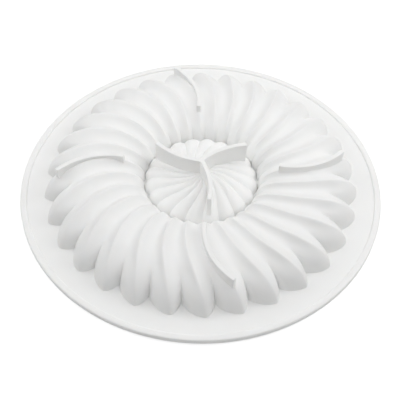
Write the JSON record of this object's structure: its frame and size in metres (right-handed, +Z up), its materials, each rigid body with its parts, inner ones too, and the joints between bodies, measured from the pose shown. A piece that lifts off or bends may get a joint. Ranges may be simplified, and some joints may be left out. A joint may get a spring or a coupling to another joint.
{
  "type": "silicone mousse cake mould",
  "caption": "Round white silicone mould for a mousse cake: a swirled lobed ring round a low lobed dome on a beaded flange, with curved fins that it stands on when filled.",
  "frame": {"origin": "middle of the flange on its underside, the plane on which the mould stands with its cavity down", "axes": "+Z up, out of the mould's outer side towards the fins; -Y towards the viewer of the picture; +X to the right"},
  "size_m": [0.22, 0.22, 0.0225],
  "materials": {
    "silicone": "satin white silicone"
  },
  "bodies": {
    "root": {"mousse_mould": "silicone"}
  },
  "joints": []
}
